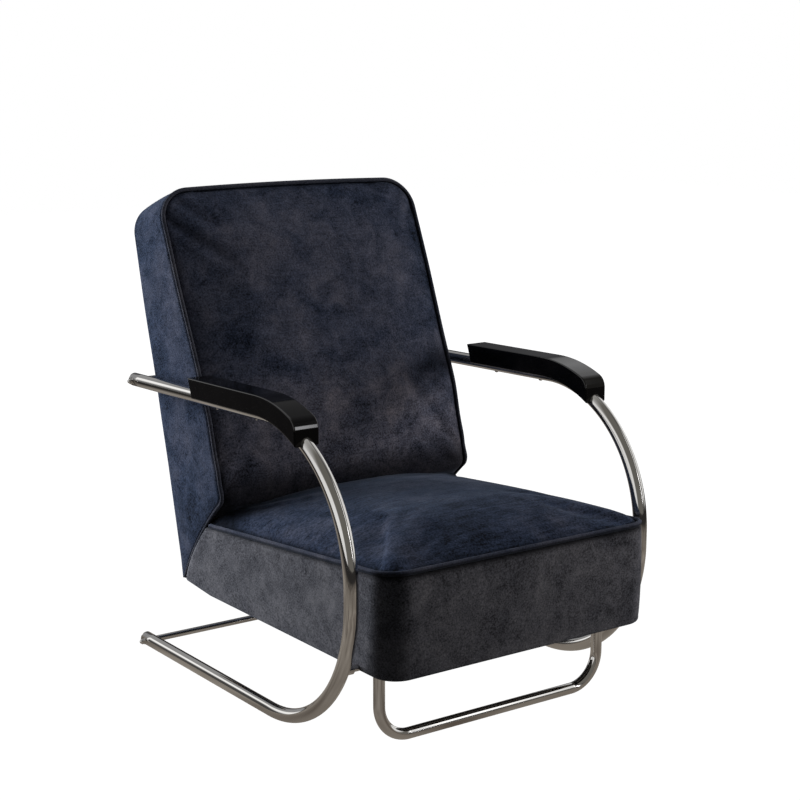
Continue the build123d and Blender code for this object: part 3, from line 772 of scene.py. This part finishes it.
seamTuck = np.array([[-0.0095, -0.0062, -0.0030], [0.0, 0.0012, 0.0028]])  # inset and depth under the cord
seatBandLook = {
    "sideCount": 60,
    "cornerCount": 14,
    "frontCount": 46,
    "rows": 30,
    "rollRows": 7,
    "span": (0.036, 0.94),
    "bulge": 0.0028,
    "bulgeStart": 0.05,
    "roll": 0.006,
    "return": 0.03,
    "gap": 0.0036,
    "pull": 0.0035,
    "pullReach": 0.008,
    "passes": 8,
    "seamShade": [0, 0, 0.05, 0.5],
    "wall": 0.005,
}


def makeSeatBand(look):
    # Plan path with rounded corners times a height profile: tucked under the cord, bulged, rolled at the foot.
    corner = seatForm["corner"]
    half = seatForm["halfWidth"]
    sides, corners, fronts, rows = look["sideCount"], look["cornerCount"], look["frontCount"], look["rows"]
    back = np.concatenate([np.linspace(1, 0, sides), np.zeros(2 * corners + fronts), np.linspace(0, 1, sides)])
    bend = np.linspace(0, pi / 2, corners + 2)[1:-1]
    turn = np.concatenate([np.zeros(sides), bend, np.full(fronts, pi / 2), pi / 2 + bend, np.full(sides, pi)])
    level = np.concatenate([np.zeros(sides + corners), np.linspace(0, 1, fronts), np.ones(corners + sides)])
    out = np.stack([-np.cos(turn), -np.sin(turn)], axis=-1)
    centreX = (2 * level - 1) * (half - corner)
    centreY = seatForm["front"] + corner
    theta = np.linspace(0, pi / 2, look["rollRows"])
    drop = np.concatenate([np.zeros(3), np.linspace(*look["span"], rows), np.ones(len(theta) + 2)])
    swelling = look["bulge"] * np.sin(np.linspace(look["bulgeStart"], 1, rows) * pi) ** 0.7
    inward = -look["roll"] - look["return"] * np.array([0.5, 1.0])
    outset = np.concatenate([seamTuck[0], swelling, -look["roll"] * (1 - np.cos(theta)), inward])
    lift = np.concatenate([-seamTuck[1], np.zeros(rows), look["roll"] * (1 - np.sin(theta)), [0, 0]])
    seam, seamNormal = backProfile(np.linspace(seamStart, backLength, 200))
    seam = seam + seamNormal * look["gap"]
    run, fall = np.meshgrid(back, drop, indexing="ij")
    y = np.full(run.shape, centreY)
    for _ in range(look["passes"]):  # each pass: heights for these lengths, then lengths for these heights
        top = seatForm["edgeHeight"] - (y - seatForm["front"]) * np.tan(slope)
        rise = np.clip((y - seatForm["riseStart"]) / (seatForm["tail"][0] - seatForm["riseStart"]), 0, 1)
        low = seatForm["underside"] + rise * (seatForm["tail"][1] - seatForm["underside"])
        z = np.where(fall >= 1, low + lift, np.where(fall <= 0, top + lift, top + (low - top) * fall))
        end = np.interp(-z, -seam[:, 1], seam[:, 0])
        y = centreY + run * (end - centreY)
    nearSeam = np.clip(1 - (1 - run) * (end - centreY) / look["pullReach"], 0, 1)
    push = corner + outset - look["pull"] * nearSeam**2
    sideY = y + out[:, 1, None] * push * (run <= 0)
    x = centreX[:, None] + out[:, 0, None] * push
    points = np.stack([x, sideY, z], axis=-1).reshape(-1, 3)
    # painted shade: the first rows, tucked under the cord, are painted dark
    shade = np.append(look["seamShade"], np.ones(len(drop) - len(look["seamShade"])))
    shade = np.broadcast_to(shade, run.shape)
    piece = makePiece("seat_band", points, [gridFaces(*run.shape)], "seatBand", shade)
    addSolid(piece, look["wall"])
    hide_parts("seat_border")
    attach(piece, "root")


makeSeatBand(seatBandLook)
print("seat band made")

backBandLook = {
    "sideCount": 110,
    "cornerCount": 16,
    "topCount": 40,
    "rows": 26,
    "rollRows": 7,
    "start": 0.005,
    "foot": 0.004,
    "bulge": 0.0025,
    "bulgeSpan": (0.04, 0.9),
    "roll": 0.005,
    "return": 0.024,
    "turnIn": 0.0006,
    "fullSpan": 0.05,
    "leastFit": 0.02,
    "seamShade": [0, 0.1, 0.5, 0.9],
    "wall": 0.005,
}
depthSlope = faceDown.dot(rearOut) / faceFront.dot(rearOut)


def rearPoints(r):
    # Point on the rear face at a length r below its top edge.
    return topRear - np.asarray(r)[..., None] * rearUp


def makeBackBand(look):
    # Ruled surface from the front outline to the rear edge, round the top corners, bulged, rolled at the rear.
    sides, corners, tops, rows = look["sideCount"], look["cornerCount"], look["topCount"], look["rows"]
    theta = np.linspace(0, pi / 2, look["rollRows"])[1:]
    main = np.linspace(0, 1, rows)
    roll, start = look["roll"], look["start"]
    swelling = look["bulge"] * np.sin(np.linspace(*look["bulgeSpan"], rows) * pi) ** 0.7
    inward = -roll - look["return"] * np.array([0.5, 1.0])
    outset = np.concatenate([seamTuck[0], swelling, -roll * (1 - np.cos(theta)), inward])
    across = np.concatenate([np.zeros(3), main, np.ones(len(theta) + 2)])
    rolled = np.append(roll * (np.sin(theta) - 1), np.full(2, -look["turnIn"]))
    inset = np.concatenate([seamTuck[1], start - (start + roll) * main, rolled])
    corner = backForm["corner"] + (backForm["rearCorner"] - backForm["corner"]) * across[None, :]
    phi = np.linspace(0, pi / 2, corners + 2)[1:-1, None]
    foot = backLength - look["foot"]
    down = foot + (corner - foot) * np.linspace(0, 1, sides)[:, None]
    bend = corner - corner * np.sin(phi)
    flat = np.zeros((tops, len(outset)))
    d = np.concatenate([down, bend, flat, bend[::-1], down[::-1]])
    half = backWidth(d)
    quarter, level = phi[:, 0], np.full(tops, pi / 2)
    turn = np.concatenate([np.zeros(sides), quarter, level, pi - quarter[::-1], np.full(sides, pi)])
    left = np.full(sides + corners, -1.0)
    way = np.concatenate([left, np.linspace(-1, 1, tops), -left])
    x = way[:, None] * (half - corner) - corner * np.cos(turn)[:, None]
    d = d + topBow(x, d) * (1 - across)
    front, _ = backProfile(d)
    straight = np.minimum(d, backForm["straight"])
    depth = backForm["topThickness"] + straight * depthSlope
    rear = backTop + straight[..., None] * faceDown - depth[..., None] * faceFront
    r = (topRear - rear) @ rearUp
    last = (topRear - tail) @ rearUp
    share = np.clip((d - backForm["straight"]) / (backLength - backForm["straight"]), 0, 1)
    rear = rearPoints(r + share * (last - r))
    span = np.linalg.norm(rear - front, axis=-1)
    fit = np.clip(span / look["fullSpan"], look["leastFit"], 1)
    ruling = (rear - front) / np.maximum(span, 1e-6)[..., None]
    push = outset[None, :] * fit
    yz = front + (across * span + inset * fit)[..., None] * ruling
    yz = yz - (push * np.sin(turn)[:, None])[..., None] * faceDown
    points = joinPoints(x - push * np.cos(turn)[:, None], yz).reshape(-1, 3)
    # painted shade: the first rows, tucked under the cord, are painted dark
    shade = np.append(look["seamShade"], np.ones(len(outset) - len(look["seamShade"])))
    shade = np.broadcast_to(shade, d.shape)
    faces = [gridFaces(*d.shape, flip=True)]
    piece = makePiece("back_band", points, faces, "backBand", shade)
    addSolid(piece, look["wall"])
    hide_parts("back_border")
    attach(piece, "root")


makeBackBand(backBandLook)
print("back band made")

rearCoverLook = {
    "rows": 60,
    "cols": 46,
    "inset": 0.009,
    "foot": 0.0012,
    "corner": 0.045,
    "crown": 0.0008,
    "crownReach": 0.05,
    "edge": 0.0025,
    "edgeReach": 0.008,
    "wall": 0.004,
}


def makeRearCover(look):
    # Flat panel on the rear face with rounded top corners, edges turned in along a blind seam.
    rows, cols = look["rows"], look["cols"]
    last = (topRear - tail) @ rearUp
    r = look["inset"] + (last - look["foot"] - look["inset"]) * np.linspace(0, 1, rows)
    half = roundedWidth(r - look["inset"], backWidth(r) - look["inset"], look["corner"])
    x = half[:, None] * np.linspace(-1, 1, cols)[None, :]
    rr = np.broadcast_to(r[:, None], x.shape)
    edge = np.minimum(half[:, None] - np.abs(x), rr - look["inset"])
    lift = look["crown"] * eased(edge / look["crownReach"], 2)
    lift = lift - look["edge"] * (1 - quarterRound(edge / look["edgeReach"]))
    points = joinPoints(x, rearPoints(rr) + lift[..., None] * rearOut).reshape(-1, 3)
    piece = makePiece("back_rear_cover", points, [gridFaces(rows, cols)], "backBand")
    addSolid(piece, look["wall"])
    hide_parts("back_rear_panel")
    flat = (2 * (backForm["halfWidth"] - look["inset"]), float(r[-1] - r[0]))
    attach(piece, "root")


makeRearCover(rearCoverLook)
print("rear cover made")

seatCordLook = {"side": 0.572, "lift": 0.001, "rings": 520, "sides": 14, "lit": 0.8}
backCordLook = {
    "thinner": 0.88,
    "foot": 0.006,
    "lift": 0.001,
    "sideCount": 330,
    "cornerCount": 24,
    "topCount": 90,
    "sides": 14,
    "lit": 0.2,
}


def makeSeatPiping(look):
    # Cord on the seat's edge: a plan path with rounded front corners on the sloped plane.
    half = seatForm["halfWidth"] - cordInset
    corner = seatForm["corner"] - cordInset
    straight = (look["side"] - corner - cordInset, 0.0)
    bend = (corner * pi / 2, pi / 2)
    runs = [straight, bend, (2 * (half - corner), 0.0), bend, straight]
    s = np.linspace(0, sum(run[0] for run in runs), look["rings"])
    plan, _ = runPath((-half, look["side"]), -pi / 2, runs, s)
    path = joinPoints(plan[:, 0], seatPoints(plan[:, 1], np.full(len(s), look["lift"])))
    across = np.broadcast_to([0.0, *seatNormal], path.shape)
    piece = sweep("seat_cord", path, across, cordRadius, look["sides"], "piping", look["lit"])
    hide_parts("seat_piping")
    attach(piece, "root")


def makeBackPiping(look):
    # Cord up the seam and side, round the top corner and down the other side.
    sides, corners, tops = look["sideCount"], look["cornerCount"], look["topCount"]
    corner = backForm["corner"] - cordInset
    down = np.linspace(backLength - look["foot"], corner + cordInset, sides)
    phi = np.linspace(0, pi / 2, corners + 2)[1:-1]
    bend = cordInset + corner - corner * np.sin(phi)
    d = np.concatenate([down, bend, np.full(tops, cordInset), bend[::-1], down[::-1]])
    turn = np.concatenate([np.zeros(sides), phi, np.full(tops, pi / 2), pi - phi[::-1], np.full(sides, pi)])
    left = np.full(sides + corners, -1.0)
    way = np.concatenate([left, np.linspace(-1, 1, tops), -left])
    x = way * (backWidth(d) - cordInset - corner) - corner * np.cos(turn)
    outline, normal = backProfile(d + topBow(x, d))
    path = joinPoints(x, outline + normal * look["lift"])
    across = joinPoints(np.zeros(len(d)), normal)
    radius = cordRadius * look["thinner"]
    piece = sweep("back_cord", path, across, radius, look["sides"], "backPiping", look["lit"])
    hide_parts("back_piping")
    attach(piece, "root")


makeSeatPiping(seatCordLook)
makeBackPiping(backCordLook)
print("piping made")

# the tubes are finer than the solids so that the chrome reflects cleanly
sideTubeLook = {
    "x": 0.3125,
    "radius": 0.0125,
    "start": (0.335 + shiftY, 0.0125),
    "runner": 0.461,
    "lowerBend": 0.250,
    "riser": 0.0245,
    "upperBend": 0.247,
    "armTurn": radians(91.55),
    "sides": 72,
    "bendRings": 400,
}
legTubeLook = {
    "y": -0.34772 + shiftY,
    "radius": 0.010,
    "half": 0.239,
    "top": 0.147,
    "bend": 0.060,
    "sides": 72,
    "bendRings": 120,
}
straightRings = 16


def runSteps(runs, bendRings):
    # Arc lengths of the rings: many along each bend, few along each straight run, then the end.
    lengths = [run[0] for run in runs]
    counts = [bendRings if run[1] else straightRings for run in runs]
    starts = np.cumsum([0.0] + lengths)
    steps = [start + np.linspace(0, length, count, endpoint=False)
             for start, length, count in zip(starts, lengths, counts)]
    return np.append(np.concatenate(steps), starts[-1])


def makeSideTube(name, node, x, look):
    # Round tube along the runner, the lower bend, the riser, the upper bend and the arm.
    turn = look["armTurn"]
    lower = (look["lowerBend"] * pi / 2, -pi / 2)
    upper = (look["upperBend"] * turn, -turn)
    runs = [(look["runner"], 0.0), lower, (look["riser"], 0.0), upper]
    armStart = runPath(look["start"], pi, runs, np.array([sum(run[0] for run in runs)]))[0][0]
    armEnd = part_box(node)[1].y - look["radius"] * sin(turn - pi / 2)
    runs.append(((armEnd - armStart[0]) / cos(turn - pi / 2), 0.0))
    line, _ = runPath(look["start"], pi, runs, runSteps(runs, look["bendRings"]))
    path = joinPoints(np.full(len(line), x), line)
    across = np.broadcast_to([1.0, 0.0, 0.0], path.shape)
    piece = sweep(name, path, across, look["radius"], look["sides"], "chrome")
    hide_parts(node)
    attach(piece, "root")


def makeFrontLeg(look):
    # Round tube down one post, along the floor bar and up the other post.
    post = (look["top"] - look["radius"] - look["bend"], 0.0)
    bend = (look["bend"] * pi / 2, pi / 2)
    runs = [post, bend, (2 * (look["half"] - look["bend"]), 0.0), bend, post]
    line, _ = runPath((-look["half"], look["top"]), -pi / 2, runs, runSteps(runs, look["bendRings"]))
    path = np.stack([line[:, 0], np.full(len(line), look["y"]), line[:, 1]], axis=-1)
    across = np.broadcast_to([0.0, 1.0, 0.0], path.shape)
    piece = sweep("front_leg_tube", path, across, look["radius"], look["sides"], "chrome")
    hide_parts("front_leg")
    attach(piece, "root")


makeSideTube("left_tube", "left_side_frame", -sideTubeLook["x"], sideTubeLook)
makeSideTube("right_tube", "right_side_frame", sideTubeLook["x"], sideTubeLook)
makeFrontLeg(legTubeLook)
print("tubes made")

liningLook = {"cols": 40, "rows": 48, "lift": 0.0002, "sag": 0.004, "ripple": 0.0006, "wall": 0.0012}


def makeDustCover(look):
    # Thin cloth between the rails: z falls by sag * (1 - u^2) * (1 - v^2), with a slight sine ripple.
    low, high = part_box("seat_dust_cover")
    cols, rows = look["cols"], look["rows"]
    u, v = np.meshgrid(np.linspace(-1, 1, cols), np.linspace(-1, 1, rows), indexing="ij")
    x = (low.x + high.x) / 2 + u * (high.x - low.x) / 2
    y = (low.y + high.y) / 2 + v * (high.y - low.y) / 2
    z = low.z + look["lift"] - look["sag"] * (1 - u**2) * (1 - v**2)
    z = z + look["ripple"] * np.sin(9 * u + 3 * v) * (1 - u**2)
    points = np.stack([x, y, z], axis=-1).reshape(-1, 3)
    piece = makePiece("seat_lining", points, [gridFaces(cols, rows)], "lining")
    addSolid(piece, look["wall"])
    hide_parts("seat_dust_cover")
    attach(piece, "root")


makeDustCover(liningLook)
print("dust cover made")

floorLook = {
    "half": 9.0,
    "tone": rgb(0.20, 0.195, 0.19),
    "pileScale": 3.2,
    "pileDark": rgb(0.13, 0.105, 0.085),
    "pileLight": rgb(0.38, 0.34, 0.295),
    "pileFar": rgb(0.03, 0.028, 0.027),
    "glow": 1.1,
    "nearShown": 0.94,
    "nearMirrored": 0.85,
}
roomLook = {
    "ambient": rgb(0.032, 0.034, 0.038),
    "ceiling": rgb(0.85, 0.85, 0.86),
    "front": rgb(0.17, 0.163, 0.148),
    "sides": rgb(1.0, 1.0, 1.0),
    "rear": rgb(0.36, 0.36, 0.365),
    "rearStreak": rgb(1.3, 1.3, 1.3),
    "rearLeft": rgb(0.08, 0.078, 0.076),
    "wall": rgb(0.11, 0.11, 0.115),
    "aisleFront": rgb(0.05, 0.05, 0.052),
    "aisleRear": rgb(0.14, 0.14, 0.143),
    "aisleLow": rgb(0.010, 0.010, 0.012),
    "panel": rgb(1.9, 1.9, 1.9),
    "strip": rgb(6.5, 6.5, 6.7),
}
white = rgb(1, 1, 1)


def ramp(value, start, steepness):
    # 0 up to start, then rising to 1; a negative steepness rises the other way.
    return ((value - start) * steepness).clamped()


def between(value, low, high, rise, fall):
    # 1 between two limits, with a ramp inside each.
    return ramp(value, low, rise) * ramp(value, high, -fall)


def makeFloor(look):
    # Wide plane: white to the camera with the chair's shadow, a warm pile to reflections.
    half = look["half"]
    mesh = bpy.data.meshes.new("floor")
    corners = [(-half, -half, 0), (half, -half, 0), (half, half, 0), (-half, half, 0)]
    mesh.from_pydata(corners, [], [(0, 1, 2, 3)])
    floor = bpy.data.objects.new("floor", mesh)
    scene.collection.objects.link(floor)
    sh = newShader("pale_floor")
    place = sh.objectPlace()
    seen = sh.node("ShaderNodeLightPath", output="Is Camera Ray")
    mirrored = sh.node("ShaderNodeLightPath", output="Is Glossy Ray")
    reach = sh.node("ShaderNodeVectorMath", {"operation": "LENGTH"}, {0: place}, output="Value")
    far = ramp(reach, 0.8, 0.9)
    plain = sh.node("ShaderNodeBsdfDiffuse", {}, {"Color": look["tone"]})
    pile = ramp(sh.noise(place, look["pileScale"], 2.0, 0.5), 0.32, 2.8)
    carpet = sh.mix(pile, look["pileDark"], look["pileLight"])
    carpet = sh.mix(ramp(reach, 1.1, 0.9), carpet, look["pileFar"])
    dim = sh.node("ShaderNodeEmission", {}, {"Color": carpet, "Strength": 1.0})
    glow = sh.node("ShaderNodeEmission", {}, {"Color": white, "Strength": look["glow"]})
    near, nearMirrored = look["nearShown"], look["nearMirrored"]
    mirror = sh.node("ShaderNodeMixShader", {}, {
        0: mirrored * (nearMirrored + far * (1.0 - nearMirrored)),
        1: plain,
        2: dim,
    })
    both = sh.node("ShaderNodeMixShader", {}, {0: seen * (near + far * (1.0 - near)), 1: mirror, 2: glow})
    sh.node("ShaderNodeOutputMaterial", {}, {"Surface": both})
    mesh.materials.append(sh.owner)


def makeRoom(look):
    # White to the camera and a dim ambient; reflections see a room laid out by the ray's direction.
    scene.world = bpy.data.worlds.new("studio")
    sh = Shader(scene.world)
    seen = sh.node("ShaderNodeLightPath", output="Is Camera Ray")
    mirrored = sh.node("ShaderNodeLightPath", output="Is Glossy Ray")
    through = sh.node("ShaderNodeLightPath", output="Is Transmission Ray")
    direction = sh.node("ShaderNodeTexCoord", output="Generated")
    sideways, rearwards, upward = (
        sh.node("ShaderNodeSeparateXYZ", {}, {0: direction}, output=axis) for axis in ("X", "Y", "Z"))
    room = sh.mix((0.85 - rearwards * 1.8).clamped(), look["ceiling"], look["front"])
    room = sh.mix(ramp(sideways * sideways, 0.6, 6.0), room, look["sides"])
    rear = sh.mix(between(sideways, -0.46, -0.17, 14.0, 14.0), look["rear"], look["rearStreak"])
    rear = sh.mix(ramp(sideways, -0.43, -14.0), rear, look["rearLeft"])
    room = sh.mix(ramp(rearwards, 0.6, 8.0), room, rear)
    # dark wall low behind on the right
    wall = between(sideways, 0.22, 0.85, 8.0, 8.0) * ramp(upward, 0.28, -16.0) * ramp(rearwards, 0.2, 6.0)
    room = sh.mix(wall, room, look["wall"])
    # dark aisle over the right, with a bright panel and a strip light in its front
    high = (ramp(upward, 0.44, 16.0) + (0.25 - rearwards * 8.0).clamped()).clamped()
    aisle = sh.mix(ramp(rearwards, -0.6, 1.2), look["aisleFront"], look["aisleRear"])
    aisle = sh.mix(high, look["aisleLow"], aisle)
    room = sh.mix(between(sideways, 0.38, 0.64, 12.0, 12.0), room, aisle)
    panel = between(sideways, 0.535, 0.66, 40.0, 12.0) * between(upward, 0.30, 0.76, 14.0, 14.0)
    room = sh.mix(panel * (-6.0 * rearwards - 0.6).clamped(), room, look["panel"])
    strip = between(sideways, 0.490, 0.537, 90.0, 120.0) * between(upward, 0.05, 0.44, 20.0, 20.0)
    room = sh.mix(strip * (-6.0 * rearwards - 1.0).clamped(), room, look["strip"])
    shown = sh.mix((seen + through).clamped(), room, white)
    light = sh.mix((seen + through + mirrored).clamped(), look["ambient"], shown)
    sky = sh.node("ShaderNodeBackground", {}, {"Color": light, "Strength": 1.0})
    sh.node("ShaderNodeOutputWorld", {}, {"Surface": sky})


def areaLight(name, at, target, size, power, color=(1, 1, 1)):
    # Rectangular soft light aimed at a point and left out of reflections.
    lamp = bpy.data.lights.new(name, "AREA")
    lamp.shape = "RECTANGLE"
    lamp.size, lamp.size_y = size
    lamp.energy = power
    lamp.color = color
    made = bpy.data.objects.new(name, lamp)
    made.location = at
    made.rotation_euler = (Vector(target) - Vector(at)).to_track_quat("-Z", "Y").to_euler()
    made.visible_glossy = False
    scene.collection.objects.link(made)


makeFloor(floorLook)
makeRoom(roomLook)
areaLight("window_left", (-1.6, 2.0, 0.98), (-0.1, 0, 0.45), (1.5, 1.7), 214, (0.95, 0.98, 1.0))
areaLight("fill_right", (1.75, -1.3, 0.8), (0.1, 0, 0.45), (1.0, 0.8), 52, (1.0, 0.97, 0.94))
areaLight("top_soft", (0.6, 0.0, 2.8), (0.1, -0.1, 0.4), (1.4, 1.2), 32)

camera = bpy.data.cameras.new("camera")
camera.lens = 78.584
camera.sensor_width = 36.0
camera.clip_end = 60
eye = bpy.data.objects.new("camera", camera)
eye.location = (-1.8002, -2.584464 + shiftY, 1.130332)
eye.rotation_euler = (pi / 2 - 0.197, 0.0, -0.622)
scene.collection.objects.link(eye)
scene.camera = eye
print("stage set")
